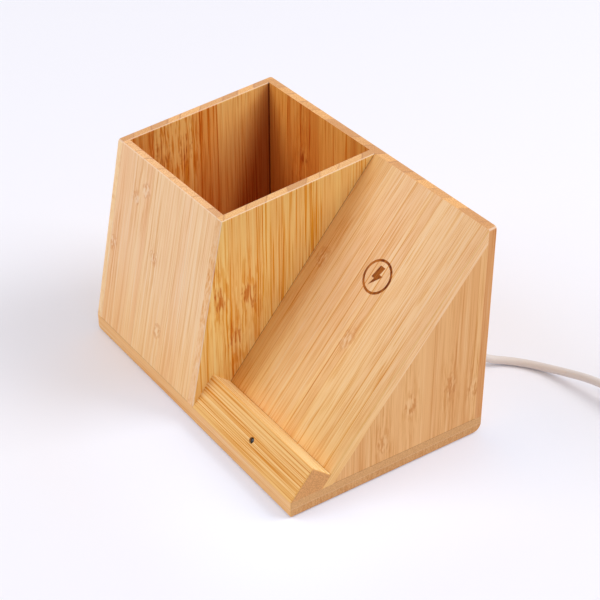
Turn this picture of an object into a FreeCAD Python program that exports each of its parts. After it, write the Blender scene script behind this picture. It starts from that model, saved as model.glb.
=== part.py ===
import FreeCAD, Part
import math
import os

import Sketcher
from FreeCAD import Placement, Rotation, Vector

doc = FreeCAD.newDocument("charging_organizer")

# Driving dimensions in millimetres. Heights are above the underside of the base board.
driving = [
    ("width", 180, "overall width, left to right"),
    ("depth", 110.6, "overall depth, front to back"),
    ("back_height", 115, "rim height at the back face"),
    ("rim_front_height", 106.2, "rim height at the front edge of the pen box"),
    ("front_setback", 19.6, "how far the leaning front has moved back at the rim"),
    ("base_thick", 8.7, "base board"),
    ("side_thick", 4.8, "left side, divider and right cheek"),
    ("back_thick", 4.7, "back panel"),
    ("front_thick", 4.2, "leaning front of the pen box"),
    ("panel_thick", 4.9, "sloping charging panel"),
    ("pen_box_width", 96, "pen box over both its side boards"),
    ("panel_foot", 16.8, "front edge of the base to the foot of the slope"),
    ("ledge_lift", 8, "phone rest above the foot of the slope, along it"),
    ("arris", 0.8, "easing of the outer edges"),
    ("rim_corner", 1.7, "rounding of the outer corners of the rim"),
    ("base_back_round", 4.5, "rounding under the back edge of the base"),
    ("base_left_round", 2, "rounding under the left edge of the base"),
    ("pad_proud", 0.5, "anti-slip pad below the base"),
    ("pad_sink", 1, "anti-slip pad inside the base"),
    ("pad_dia", 10, "anti-slip pad"),
    ("pad_inset", 14, "pad centre from the edges of the base"),
    ("led_from_right", 40.2, "lamp centre from the right face"),
    ("led_up", 8.5, "lamp centre up the front of the ledge"),
    ("led_dia", 3, "lamp body"),
    ("led_fit", 0.1, "lamp to its hole, all round"),
    ("led_recess", 0.5, "lamp tip below the face of the ledge"),
    ("led_length", 3.6, "lamp body in front of its flange"),
    ("led_round", 1.2, "rounding of the lamp tip"),
    ("led_flange_dia", 3.8, "lamp flange"),
    ("led_flange_thick", 0.9, "lamp flange"),
    ("wire_bore", 4.4, "bore behind the lamp, and the width of the wire channel"),
    ("channel_depth", 3.4, "wire channel in the top of the base"),
    ("channel_past", 9, "wire channel past the foot of the slope, inside"),
    ("coil_from_right", 42, "charging coil centre from the right face"),
    ("coil_up", 86, "charging coil centre up the slope"),
    ("coil_dia", 44, "charging coil"),
    ("coil_bore", 20, "charging coil, inner"),
    ("coil_thick", 1.2, "charging coil"),
    ("coil_room", 3, "charging coil to the wall of its pocket"),
    ("tape_thick", 0.3, "adhesive disc that holds the coil"),
    ("shield_thick", 0.8, "ferrite behind the coil"),
    ("board_length", 44, "charger board, left to right"),
    ("board_width", 34, "charger board, front to back"),
    ("board_thick", 1.6, "charger board"),
    ("board_from_back", 15, "charger board to the back panel"),
    ("board_from_right", 41, "charger board centre from the right face"),
    ("standoff_height", 5, "board above the base"),
    ("standoff_dia", 5, "spacer under the board"),
    ("screw_inset", 3.2, "board screw from the edges of the board"),
    ("screw_dia", 2, "board screw"),
    ("screw_head_dia", 3.6, "board screw head"),
    ("screw_head_thick", 1.3, "board screw head"),
    ("screw_bite", 3.5, "board screw in the base"),
    ("chip_size", 7, "controller chip"),
    ("chip_thick", 0.9, "controller chip"),
    ("driver_size", 5, "power stage chips"),
    ("inductor_size", 7.2, "choke"),
    ("inductor_thick", 4, "choke"),
    ("inductor_round", 1.2, "choke corners"),
    ("capacitor_length", 3.2, "resonant capacitor"),
    ("capacitor_width", 2.5, "resonant capacitor"),
    ("capacitor_pitch", 4, "resonant capacitors, centre to centre"),
    ("lead_dia", 0.9, "inner wires"),
    ("lead_pitch", 2, "two wires of a pair, centre to centre"),
    ("cord_dia", 4.2, "supply cord"),
    ("cord_from_right", 42.5, "cord hole from the right face"),
    ("cord_height", 13, "cord hole"),
    ("bushing_dia", 6.4, "bushing in the back panel"),
    ("bushing_flange_dia", 9.4, "bushing flange, outside"),
    ("bushing_flange_thick", 1.2, "bushing flange, outside"),
    ("bushing_lip_dia", 7.6, "bushing lip, inside"),
    ("bushing_lip_thick", 1.2, "bushing lip, inside"),
    ("nose_length", 10, "tapered nose of the bushing"),
    ("nose_root_dia", 7.4, "tapered nose at the flange"),
    ("nose_tip_dia", 5.6, "tapered nose at its tip"),
    ("stop_width", 2.6, "pull stop on the cord"),
    ("stop_thick", 1.1, "pull stop on the cord"),
    ("stop_head", 4, "head of the pull stop"),
    ("jacket_past", 5, "cord jacket past the pull stop, inside"),
    ("loop_gap", 0.5, "air between neighbouring loops of the coiled cord"),
    ("loop_inner", 14.2, "innermost loop radius of the coiled cord"),
    ("tie_width", 8, "tie along the cord"),
    ("tie_thick", 0.9, "tie strap"),
    ("tie_slack", 1.8, "tie to the outermost loops, sideways"),
    ("tie_seat", 0.2, "tie to the loops, up and down"),
    ("tie_corner", 2, "tie strap, outer corner"),
    ("grip_length", 17, "plug grip"),
    ("grip_width", 15.6, "plug grip"),
    ("grip_thick", 8, "plug grip"),
    ("grip_round", 1.6, "plug grip edges"),
    ("relief_length", 8, "taper on the plug grip"),
    ("relief_root_dia", 7, "taper at the grip"),
    ("relief_tip_dia", 5.2, "taper at the cord"),
    ("shell_length", 12, "plug shell"),
    ("shell_width", 12, "plug shell"),
    ("shell_thick", 4.5, "plug shell"),
    ("shell_wall", 0.35, "plug shell"),
    ("tongue_thick", 1.9, "contact carrier in the plug shell"),
    ("tongue_short", 0.8, "contact carrier behind the mouth of the shell"),
]

# What follows from the driving dimensions, as formulas on them.
worked_out = [
    ("rim_slope", "(Sizes.back_height - Sizes.rim_front_height) / (Sizes.depth - Sizes.front_setback)"),
    ("back_face", "Sizes.depth - Sizes.back_thick"),
    ("rim_at_back", "Sizes.back_height - Sizes.back_thick * rim_slope"),
    ("front_slope", "Sizes.front_setback / (Sizes.rim_front_height - Sizes.base_thick)"),
    ("front_foot", "Sizes.front_thick * sqrt(1 + front_slope * front_slope)"),
    ("front_rim", "front_foot / (1 - front_slope * rim_slope)"),
    ("panel_run", "back_face - Sizes.panel_foot"),
    ("panel_rise", "rim_at_back - Sizes.base_thick"),
    ("panel_length", "sqrt(panel_run * panel_run + panel_rise * panel_rise)"),
    ("panel_cos", "panel_run / panel_length"),
    ("panel_sin", "panel_rise / panel_length"),
    ("panel_under", "Sizes.panel_foot + Sizes.panel_thick / panel_sin"),
    ("panel_width", "Sizes.width - Sizes.pen_box_width"),
    ("ledge_depth", "Sizes.panel_foot * panel_sin"),
    ("ledge_toe", "-Sizes.panel_foot * panel_cos"),
    ("pocket_depth", "Sizes.tape_thick + Sizes.coil_thick + Sizes.shield_thick"),
    ("pocket_dia", "Sizes.coil_dia + 2 * Sizes.coil_room"),
    ("board_across", "Sizes.width - Sizes.board_from_right"),
    ("board_middle", "back_face - Sizes.board_from_back - Sizes.board_width / 2"),
    ("board_under", "Sizes.base_thick + Sizes.standoff_height"),
    ("screw_x", "Sizes.board_length / 2 - Sizes.screw_inset"),
    ("screw_y", "Sizes.board_width / 2 - Sizes.screw_inset"),
]


def fill_sheet(name, rows, as_text):
    sheet = doc.addObject("Spreadsheet::Sheet", name)
    for number, (alias, content) in enumerate(rows, start=1):
        sheet.set(f"A{number}", alias)
        sheet.set(f"B{number}", as_text(content))
        sheet.setAlias(f"B{number}", alias)
    doc.recompute()
    return sheet


sizes = fill_sheet("Sizes", [(alias, size) for alias, size, meaning in driving], str)
worked = fill_sheet("Worked", worked_out, "={}".format)


def val(name):
    return float(getattr(sizes if hasattr(sizes, name) else worked, name))


# The drawing frame starts at the front left corner of the base; the part's own origin is under its middle.
home = Vector(-val("width") / 2, -val("depth") / 2, val("pad_proud"))


def seat(piece, x="0", y="0", z="0"):
    piece.setExpression("Placement.Base.x", f"{x} - Sizes.width / 2")
    piece.setExpression("Placement.Base.y", f"{y} - Sizes.depth / 2")
    piece.setExpression("Placement.Base.z", f"{z} + Sizes.pad_proud")


def seat_on_slope(piece, x, up="0", out="0"):
    piece.Placement = Placement(Vector(), Rotation(Vector(1, 0, 0), 1))
    piece.setExpression("Placement.Rotation.Angle", "acos(Worked.panel_cos)")
    seat(
        piece,
        x,
        f"Sizes.panel_foot + ({up}) * Worked.panel_cos - ({out}) * Worked.panel_sin",
        f"Sizes.base_thick + ({up}) * Worked.panel_sin + ({out}) * Worked.panel_cos",
    )


def on_slope(x, up, out):
    y = val("panel_foot") + up * val("panel_cos") - out * val("panel_sin")
    z = val("base_thick") + up * val("panel_sin") + out * val("panel_cos")
    return Vector(x, y, z)


# Sketches and features


def new_body(name):
    body = doc.addObject("PartDesign::Body", name)
    body.Label = name
    return body


def new_sketch(body, role, lift=None):
    sketch = body.newObject("Sketcher::SketchObject", f"{body.Name}_sketch")
    plane = next(p for p in body.Origin.OriginFeatures if p.Role == role)
    sketch.AttachmentSupport = [(plane, "")]
    sketch.MapMode = "FlatFace"
    if lift:
        sketch.setExpression("AttachmentOffset.Base.z", lift)
    return sketch


def pin(sketch, kind, geometry, position, formula):
    at = sketch.addConstraint(Sketcher.Constraint(kind, -1, 1, geometry, position, 1))
    sketch.setExpression(f"Constraints[{at}]", formula)


def draw_outline(sketch, points):
    first = sketch.GeometryCount
    count = len(points)
    turn = 2 * math.pi / count
    spots = [Vector(math.cos(turn * i), math.sin(turn * i), 0) for i in range(count)]
    for i in range(count):
        sketch.addGeometry(Part.LineSegment(spots[i], spots[(i + 1) % count]))
    for i in range(count):
        sketch.addConstraint(Sketcher.Constraint("Coincident", first + i, 2, first + (i + 1) % count, 1))
    for i, (across, along) in enumerate(points):
        pin(sketch, "DistanceX", first + i, 1, across)
        pin(sketch, "DistanceY", first + i, 1, along)
    return sketch


def draw_rectangle(sketch, low_x, low_y, high_x, high_y):
    return draw_outline(sketch, [(low_x, low_y), (high_x, low_y), (high_x, high_y), (low_x, high_y)])


def draw_circle(sketch, across, along, diameter):
    circle = sketch.addGeometry(Part.Circle(Vector(), Vector(0, 0, 1), 1))
    pin(sketch, "DistanceX", circle, 3, across)
    pin(sketch, "DistanceY", circle, 3, along)
    at = sketch.addConstraint(Sketcher.Constraint("Diameter", circle, 1))
    sketch.setExpression(f"Constraints[{at}]", diameter)
    return sketch


def pad(body, sketch, length):
    feature = body.newObject("PartDesign::Pad", f"{body.Name}_pad")
    feature.Profile = sketch
    feature.setExpression("Length", length)
    doc.recompute()
    return feature


def pocket(body, sketch, depth, against_normal=True):
    before = body.Shape.Volume
    feature = body.newObject("PartDesign::Pocket", f"{body.Name}_pocket")
    feature.Profile = sketch
    feature.setExpression("Length", depth)
    feature.Reversed = not against_normal
    doc.recompute()
    if body.Shape.Volume >= before:
        raise RuntimeError(f"{feature.Name} cuts nothing")
    return feature


def ease(body, spots, radius):
    """Rounds the edges of a body that pass nearest to the given places."""
    base = body.Tip
    edges = base.Shape.Edges
    names = []
    for spot in spots:
        gaps = [edge.distToShape(Part.Vertex(spot))[0] for edge in edges]
        names.append(f"Edge{gaps.index(min(gaps)) + 1}")
    feature = body.newObject("PartDesign::Fillet", f"{body.Name}_ease")
    feature.Base = (base, names)
    feature.setExpression("Radius", radius)
    doc.recompute()
    return feature


def corners(sketch):
    return [line.StartPoint for line in sketch.Geometry]


def end_edge(sketch, side, length):
    """Middle of an end edge of a board whose section is drawn in the side view."""
    points = corners(sketch)
    middle = (points[side] + points[(side + 1) % len(points)]) / 2
    return Vector(length, middle.x, middle.y)


def long_edge(sketch, corner, length):
    point = corners(sketch)[corner]
    return Vector(length / 2, point.x, point.y)


def board(name, length, section):
    body = new_body(name)
    sketch = draw_outline(new_sketch(body, "YZ_Plane"), section)
    pad(body, sketch, length)
    return body, sketch


def turned(name, role, section):
    """A round piece: half of its section turned about the sketch's upright axis."""
    body = new_body(name)
    sketch = draw_outline(new_sketch(body, role), section)
    feature = body.newObject("PartDesign::Revolution", f"{name}_turn")
    feature.Profile = sketch
    feature.ReferenceAxis = (sketch, ["V_Axis"])
    doc.recompute()
    return body


def disc(name, thickness, diameter, bore=None):
    body = new_body(name)
    sketch = draw_circle(new_sketch(body, "XY_Plane"), "0", "0", diameter)
    if bore:
        draw_circle(sketch, "0", "0", bore)
    pad(body, sketch, thickness)
    return body


def group(name, shapes):
    piece = doc.addObject("Part::Feature", name)
    piece.Label = name
    piece.Shape = shapes[0] if len(shapes) == 1 else Part.makeCompound(shapes)
    return piece


# Bamboo boards of the pen box

raked_section = [
    ("0", "Sizes.base_thick"),
    ("Sizes.front_setback", "Sizes.rim_front_height"),
    ("Worked.back_face", "Worked.rim_at_back"),
    ("Worked.back_face", "Sizes.base_thick"),
]
# A side of an outline has the number of the corner that it starts from.
front_foot, rim_front, rim_back, back_foot = range(len(raked_section))

left_side, sketch = board("left_side", "Sizes.side_thick", raked_section)
thick = val("side_thick")
ease(left_side, [long_edge(sketch, rim_front, thick)], "Sizes.rim_corner")
ease(
    left_side,
    [
        end_edge(sketch, front_foot, 0),
        end_edge(sketch, rim_front, 0),
        end_edge(sketch, rim_front, thick),
    ],
    "Sizes.arris",
)
seat(left_side)

divider, sketch = board("divider", "Sizes.side_thick", raked_section)
ease(
    divider,
    [
        end_edge(sketch, front_foot, thick),
        end_edge(sketch, rim_front, 0),
        end_edge(sketch, rim_front, thick),
        long_edge(sketch, rim_front, thick),
    ],
    "Sizes.arris",
)
seat(divider, "Sizes.pen_box_width - Sizes.side_thick")

inner_width = "Sizes.pen_box_width - 2 * Sizes.side_thick"
leaning_section = [
    ("0", "Sizes.base_thick"),
    ("Sizes.front_setback", "Sizes.rim_front_height"),
    (
        "Sizes.front_setback + Worked.front_rim",
        "Sizes.rim_front_height + Worked.front_rim * Worked.rim_slope",
    ),
    ("Worked.front_foot", "Sizes.base_thick"),
]
front_foot, rim_front, rim_inside, inner_foot = range(len(leaning_section))
pen_box_front, sketch = board("pen_box_front", inner_width, leaning_section)
between = val("pen_box_width") - 2 * thick
ease(
    pen_box_front,
    [long_edge(sketch, rim_front, between), long_edge(sketch, rim_inside, between)],
    "Sizes.arris",
)
seat(pen_box_front, "Sizes.side_thick")

# Back panel, full width, with the hole for the cord bushing

back_section = [
    ("Worked.back_face", "Sizes.base_thick"),
    ("Worked.back_face", "Worked.rim_at_back"),
    ("Sizes.depth", "Sizes.back_height"),
    ("Sizes.depth", "Sizes.base_thick"),
]
inner_foot, rim_inside, rim_back, back_foot = range(len(back_section))
back_panel, sketch = board("back_panel", "Sizes.width", back_section)
full = val("width")
ease(
    back_panel,
    [end_edge(sketch, rim_back, 0), end_edge(sketch, rim_inside, full)],
    "Sizes.rim_corner",
)
ease(
    back_panel,
    [
        end_edge(sketch, rim_inside, 0),
        end_edge(sketch, rim_back, full),
        long_edge(sketch, rim_back, full),
    ],
    "Sizes.arris",
)
hole = new_sketch(back_panel, "XZ_Plane", "-Worked.back_face")
draw_circle(hole, "Sizes.width - Sizes.cord_from_right", "Sizes.cord_height", "Sizes.bushing_dia")
pocket(back_panel, hole, "Sizes.back_thick")
seat(back_panel)

# Wedge: the sloping panel with its coil pocket, the ledge across its foot and the cheek under it.
# Panel and ledge are drawn lying flat, up the slope along Y and out of the slope along Z.

panel_section = [
    ("0", "0"),
    ("Worked.panel_length", "0"),
    (
        "Worked.panel_length - Sizes.panel_thick * Worked.panel_sin / Worked.panel_cos",
        "-Sizes.panel_thick",
    ),
    ("Sizes.panel_thick * Worked.panel_cos / Worked.panel_sin", "-Sizes.panel_thick"),
]
slope_foot, slope_top, inner_top, inner_foot = range(len(panel_section))
charging_panel, sketch = board("charging_panel", "Worked.panel_width", panel_section)
ease(charging_panel, [end_edge(sketch, slope_foot, val("panel_width"))], "Sizes.arris")
hole = new_sketch(charging_panel, "XY_Plane", "-Sizes.panel_thick")
draw_circle(hole, "Worked.panel_width - Sizes.coil_from_right", "Sizes.coil_up", "Worked.pocket_dia")
pocket(charging_panel, hole, "Worked.pocket_depth", against_normal=False)
seat_on_slope(charging_panel, "Sizes.pen_box_width")

ledge_section = [
    ("0", "0"),
    ("Sizes.ledge_lift", "0"),
    ("Sizes.ledge_lift", "Worked.ledge_depth"),
    ("Worked.ledge_toe", "Worked.ledge_depth"),
]
slope_foot, rest, ridge, toe = range(len(ledge_section))
phone_ledge, sketch = board("phone_ledge", "Worked.panel_width", ledge_section)
reach = val("panel_width")
ease(
    phone_ledge,
    [
        long_edge(sketch, ridge, reach),
        end_edge(sketch, rest, reach),
        end_edge(sketch, ridge, reach),
    ],
    "Sizes.arris",
)
led_x = "Worked.panel_width - Sizes.led_from_right"
led_y = "Worked.ledge_toe + Sizes.led_up"
led_step = "Worked.ledge_depth - Sizes.led_recess - Sizes.led_length"
hole = new_sketch(phone_ledge, "XY_Plane", "Worked.ledge_depth")
draw_circle(hole, led_x, led_y, "Sizes.led_dia + 2 * Sizes.led_fit")
pocket(phone_ledge, hole, "Sizes.led_recess + Sizes.led_length")
hole = new_sketch(phone_ledge, "XY_Plane", led_step)
draw_circle(hole, led_x, led_y, "Sizes.wire_bore")
pocket(phone_ledge, hole, "Worked.ledge_depth")
seat_on_slope(phone_ledge, "Sizes.pen_box_width")

right_side, sketch = board(
    "right_side",
    "Sizes.side_thick",
    [
        ("Worked.panel_under", "Sizes.base_thick"),
        ("Worked.back_face", "Worked.rim_at_back - Sizes.panel_thick / Worked.panel_cos"),
        ("Worked.back_face", "Sizes.base_thick"),
    ],
)
seat(right_side, "Sizes.width - Sizes.side_thick")

# Base board with the wire channel, the board screws' pilot holes and the pad recesses

base_board = new_body("base_board")
sketch = draw_rectangle(new_sketch(base_board, "XY_Plane"), "0", "0", "Sizes.width", "Sizes.depth")
pad(base_board, sketch, "Sizes.base_thick")
wide, deep, tall = val("width"), val("depth"), val("base_thick")
ease(base_board, [Vector(wide / 2, deep, 0)], "Sizes.base_back_round")
ease(base_board, [Vector(0, deep / 2, 0)], "Sizes.base_left_round")
ease(
    base_board,
    [
        Vector(wide / 2, 0, 0),
        Vector(wide, deep / 2, 0),
        Vector(wide, 0, tall / 2),
        Vector(0, 0, tall),
        Vector(wide, deep, tall),
        Vector(0, deep, tall),
    ],
    "Sizes.arris",
)
channel_mid = "Sizes.width - Sizes.led_from_right"
hole = new_sketch(base_board, "XY_Plane", "Sizes.base_thick")
draw_rectangle(
    hole,
    f"{channel_mid} - Sizes.wire_bore / 2",
    "Sizes.panel_foot / 2",
    f"{channel_mid} + Sizes.wire_bore / 2",
    "Worked.panel_under + Sizes.channel_past",
)
pocket(base_board, hole, "Sizes.channel_depth")
hole = new_sketch(base_board, "XY_Plane", "Sizes.base_thick")
for side in "-+":
    for end in "-+":
        draw_circle(
            hole,
            f"Worked.board_across {side} Worked.screw_x",
            f"Worked.board_middle {end} Worked.screw_y",
            "Sizes.screw_dia",
        )
pocket(base_board, hole, "Sizes.screw_bite")
hole = new_sketch(base_board, "XY_Plane")
for across in ("Sizes.pad_inset", "Sizes.width - Sizes.pad_inset"):
    for along in ("Sizes.pad_inset", "Sizes.depth - Sizes.pad_inset"):
        draw_circle(hole, across, along, "Sizes.pad_dia")
pocket(base_board, hole, "Sizes.pad_sink", against_normal=False)
seat(base_board)

up = Vector(0, 0, 1)
pads = []
for x in (val("pad_inset"), wide - val("pad_inset")):
    for y in (val("pad_inset"), deep - val("pad_inset")):
        foot = home + Vector(x, y, -val("pad_proud"))
        pads.append(Part.makeCylinder(val("pad_dia") / 2, val("pad_proud") + val("pad_sink"), foot, up))
group("base_pads", pads)

# Charging coil in its pocket, from the tape on the pocket's floor out to the ferrite

coil_x = "Sizes.width - Sizes.coil_from_right"
transmitter_coil = disc("transmitter_coil", "Sizes.coil_thick", "Sizes.coil_dia", "Sizes.coil_bore")
coil_shield = disc("coil_shield", "Sizes.shield_thick", "Sizes.coil_dia")
coil_tape = disc("coil_tape", "Sizes.tape_thick", "Sizes.coil_dia")
layer = "-Sizes.panel_thick"
for piece, thickness in (
    (coil_shield, "Sizes.shield_thick"),
    (transmitter_coil, "Sizes.coil_thick"),
    (coil_tape, "Sizes.tape_thick"),
):
    seat_on_slope(piece, coil_x, "Sizes.coil_up", layer)
    layer += f" + {thickness}"

# Charger board on four spacers, with its screws and parts

charger_board = new_body("charger_board")
sketch = new_sketch(charger_board, "XY_Plane")
draw_rectangle(
    sketch,
    "-Sizes.board_length / 2",
    "-Sizes.board_width / 2",
    "Sizes.board_length / 2",
    "Sizes.board_width / 2",
)
for side in "-+":
    for end in "-+":
        draw_circle(sketch, f"{side}Worked.screw_x", f"{end}Worked.screw_y", "Sizes.screw_dia")
pad(charger_board, sketch, "Sizes.board_thick")
seat(charger_board, "Worked.board_across", "Worked.board_middle", "Worked.board_under")

board_under = home + Vector(val("board_across"), val("board_middle"), val("board_under"))
board_top = board_under + up * val("board_thick")
standoffs = []
screws = []
for side in (-1, 1):
    for end in (-1, 1):
        aside = Vector(side * val("screw_x"), end * val("screw_y"), 0)
        foot = board_under + aside - up * val("standoff_height")
        radius = val("screw_dia") / 2
        spacer = Part.makeCylinder(val("standoff_dia") / 2, val("standoff_height"), foot, up)
        standoffs.append(spacer.cut(Part.makeCylinder(radius, val("standoff_height"), foot, up)))
        shank = val("board_thick") + val("standoff_height") + val("screw_bite")
        screw = Part.makeCylinder(radius, shank, foot - up * val("screw_bite"), up)
        head = Part.makeCylinder(val("screw_head_dia") / 2, val("screw_head_thick"), board_top + aside, up)
        screws.append(screw.fuse(head).removeSplitter())
group("board_standoffs", standoffs)
group("board_screws", screws)


def on_board(length_share, width_share, length, width, height):
    corner = board_top + Vector(
        length_share * val("board_length") - length / 2, width_share * val("board_width") - width / 2, 0
    )
    return Part.makeBox(length, width, height, corner)


chip_share = (-0.1, 0.05)
driver_shares = [(0.22, 0.22), (0.22, -0.02)]
choke_share = (-0.3, 0.2)
capacitor_share = (0.22, -0.3)
chip, driver = val("chip_size"), val("driver_size")
chips = [on_board(*chip_share, chip, chip, val("chip_thick"))]
chips += [on_board(*share, driver, driver, val("chip_thick")) for share in driver_shares]
group("board_chips", chips)
choke = val("inductor_size")
choke_block = on_board(*choke_share, choke, choke, val("inductor_thick"))
uprights = [edge for edge in choke_block.Edges if edge.Length < choke]
group("board_inductor", [choke_block.makeFillet(val("inductor_round"), uprights)])
capacitors = []
capacitor_count = 4
for count in range(capacitor_count):
    block = on_board(
        *capacitor_share, val("capacitor_width"), val("capacitor_length"), val("capacitor_width")
    )
    place_in_row = count - (capacitor_count - 1) / 2
    capacitors.append(block.translated(Vector(place_in_row * val("capacitor_pitch"), 0, 0)))
group("board_capacitors", capacitors)

# Lamp in the ledge

led_radius = "Sizes.led_dia / 2"
flange_radius = "Sizes.led_flange_dia / 2"
lamp_length = "Sizes.led_flange_thick + Sizes.led_length"
indicator_led = turned(
    "indicator_led",
    "XZ_Plane",
    [
        ("0", "0"),
        (flange_radius, "0"),
        (flange_radius, "Sizes.led_flange_thick"),
        (led_radius, "Sizes.led_flange_thick"),
        (led_radius, lamp_length),
        ("0", lamp_length),
    ],
)
tip = val("led_flange_thick") + val("led_length")
ease(indicator_led, [Vector(val("led_dia") / 2, 0, tip)], "Sizes.led_round")
seat_on_slope(
    indicator_led,
    "Sizes.width - Sizes.led_from_right",
    led_y,
    f"{led_step} - Sizes.led_flange_thick",
)

# Cord bushing in the back panel and the cord inside it

cord_radius = "Sizes.cord_dia / 2"
wall_end = "Sizes.bushing_lip_thick + Sizes.back_thick"
flange_end = f"{wall_end} + Sizes.bushing_flange_thick"
nose_end = f"{flange_end} + Sizes.nose_length"
cord_bushing = turned(
    "cord_bushing",
    "XY_Plane",
    [
        (cord_radius, "0"),
        ("Sizes.bushing_lip_dia / 2", "0"),
        ("Sizes.bushing_lip_dia / 2", "Sizes.bushing_lip_thick"),
        ("Sizes.bushing_dia / 2", "Sizes.bushing_lip_thick"),
        ("Sizes.bushing_dia / 2", wall_end),
        ("Sizes.bushing_flange_dia / 2", wall_end),
        ("Sizes.bushing_flange_dia / 2", flange_end),
        ("Sizes.nose_root_dia / 2", flange_end),
        ("Sizes.nose_tip_dia / 2", nose_end),
        (cord_radius, nose_end),
    ],
)
cord_x = "Sizes.width - Sizes.cord_from_right"
lip_face = "Worked.back_face - Sizes.bushing_lip_thick"
seat(cord_bushing, cord_x, lip_face, "Sizes.cord_height")

inner_length = "Sizes.stop_width + Sizes.jacket_past"
cord_inner = new_body("cord_inner")
sketch = draw_circle(new_sketch(cord_inner, "XZ_Plane"), "0", "0", "Sizes.cord_dia")
pad(cord_inner, sketch, f"{inner_length} + {nose_end}")
seat(cord_inner, cord_x, f"{lip_face} + {nose_end}", "Sizes.cord_height")

cord_stop = new_body("cord_stop")
sketch = draw_circle(new_sketch(cord_stop, "XZ_Plane"), "0", "0", "Sizes.cord_dia + 2 * Sizes.stop_thick")
pad(cord_stop, sketch, "Sizes.stop_width")
sketch = draw_rectangle(
    new_sketch(cord_stop, "XZ_Plane"),
    "-Sizes.stop_head / 2",
    cord_radius,
    "Sizes.stop_head / 2",
    f"{cord_radius} + Sizes.stop_head",
)
pad(cord_stop, sketch, "Sizes.stop_width")
hole = draw_circle(new_sketch(cord_stop, "XZ_Plane"), "0", "0", "Sizes.cord_dia")
pocket(cord_stop, hole, "Sizes.stop_width", against_normal=False)
seat(cord_stop, cord_x, lip_face, "Sizes.cord_height")

# Cords and wires: straight runs joined by tangent arcs


def bend_line(points):
    """Edges of a route, each bend as wide as its two runs allow, and the bends' radii."""
    bend_share = 0.45
    edges = []
    radii = []
    start = points[0]
    for before, here, after in zip(points, points[1:], points[2:]):
        inward = (here - before).normalize()
        outward = (after - here).normalize()
        half = inward.getAngle(outward) / 2
        tangent = bend_share * min((here - before).Length, (after - here).Length)
        radius = tangent / math.tan(half)
        radii.append(radius)
        side = (outward - inward).normalize()
        middle = here + side * (radius / math.cos(half) - radius)
        bend_start = here - inward * tangent
        bend_end = here + outward * tangent
        edges.append(Part.LineSegment(start, bend_start).toShape())
        edges.append(Part.Arc(bend_start, middle, bend_end).toShape())
        start = bend_end
    edges.append(Part.LineSegment(start, points[-1]).toShape())
    return edges, radii


def sweep(edges, diameter):
    path = Part.Wire(edges)
    first = edges[0]
    ahead = first.tangentAt(first.FirstParameter)
    ring = Part.Wire(Part.makeCircle(diameter / 2, first.valueAt(first.FirstParameter), ahead))
    tube = path.makePipeShell([ring], True, False)
    section = math.pi * diameter**2 / 4
    if abs(tube.Volume / (section * path.Length) - 1) > 0.01:
        raise RuntimeError("a swept tube has the wrong volume")
    return tube


def wire_pair(name, points):
    tubes = []
    for side in (-0.5, 0.5):
        aside = Vector(side * val("lead_pitch"), 0, 0)
        edges, radii = bend_line([home + point + aside for point in points])
        tubes.append(sweep(edges, val("lead_dia")))
    group(name, tubes)


board_front = val("board_middle") - val("board_width") / 2
board_back = val("board_middle") + val("board_width") / 2
board_core = val("board_under") + val("board_thick") / 2
lamp_x = val("width") - val("led_from_right")
lamp_up = val("ledge_toe") + val("led_up")
lamp_back = val("ledge_depth") - val("led_recess") - val("led_length") - val("led_flange_thick")
lamp_end = on_slope(lamp_x, lamp_up, lamp_back)
channel_line = val("base_thick") - val("channel_depth") / 2
fall = (lamp_end.z - channel_line) / val("panel_cos")
channel_in = on_slope(lamp_x, lamp_up, lamp_back - fall)
wire_pair(
    "led_leads",
    [
        lamp_end,
        channel_in,
        Vector(lamp_x, val("panel_under") + val("channel_past") / 3, channel_line),
        Vector(lamp_x, val("panel_under") + val("channel_past"), board_core),
        Vector(lamp_x, board_front, board_core),
    ],
)

winding_x = val("width") - val("coil_from_right")
winding_low = val("coil_up") - val("coil_dia") / 2
winding_core = -val("panel_thick") + val("shield_thick") + val("coil_thick") / 2
beside_winding = winding_low - val("coil_room") / 2
clear_of_panel = -2 * val("panel_thick")
land_share = 0.3
landing = board_front + land_share * val("board_width")
board_face = val("board_under") + val("board_thick")
wire_pair(
    "coil_leads",
    [
        on_slope(winding_x, winding_low, winding_core),
        on_slope(winding_x, beside_winding, winding_core),
        on_slope(winding_x, beside_winding, clear_of_panel),
        Vector(winding_x, landing, board_face + val("board_from_back")),
        Vector(winding_x, landing, board_face),
    ],
)

jacket_end = val("back_face") - val("bushing_lip_thick") - val("stop_width") - val("jacket_past")
hole_x = val("width") - val("cord_from_right")
splice = (jacket_end - board_back) / 3
wire_pair(
    "supply_wires",
    [
        Vector(hole_x, jacket_end, val("cord_height")),
        Vector(hole_x, jacket_end - splice, val("cord_height")),
        Vector(hole_x, board_back + splice, board_core),
        Vector(hole_x, board_back, board_core),
    ],
)

# Free cord behind the organizer. The route runs from the tip of the bushing, down to the table, round to
# the right and up on to the coil. Sideways places are from the bushing's tip, heights from the table.

bushing_tip = val("depth") + val("bushing_flange_thick") + val("nose_length")
exit_point = home + Vector(hole_x, bushing_tip, val("cord_height"))
table_line = val("cord_dia") / 2
loop_pitch = val("cord_dia") + val("loop_gap")
lower_line = val("tie_thick") + 2 * val("tie_seat") + table_line
upper_line = lower_line + loop_pitch
lead_route = [
    (0, 0, exit_point.z),
    (0, 10, exit_point.z),
    (2.3, 18.6, 9.6),
    (6.3, 27.7, 4.4),
    (12.4, 36.7, 2.2),
    (21.1, 44.3, 2.2),
    (31.2, 50.1, 2.5),
    (42.6, 53.8, 4.2),
    (54.3, 55.7, 6.4),
    (64.8, 56, upper_line),
    (77.1, 56, upper_line),
]
lead_points = [Vector(exit_point.x + x, exit_point.y + y, z) for x, y, z in lead_route]
edges, radii = bend_line(lead_points)
print("cord_lead bend radii", [round(r, 1) for r in radii])
lead_length = Part.Wire(edges).Length
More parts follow.
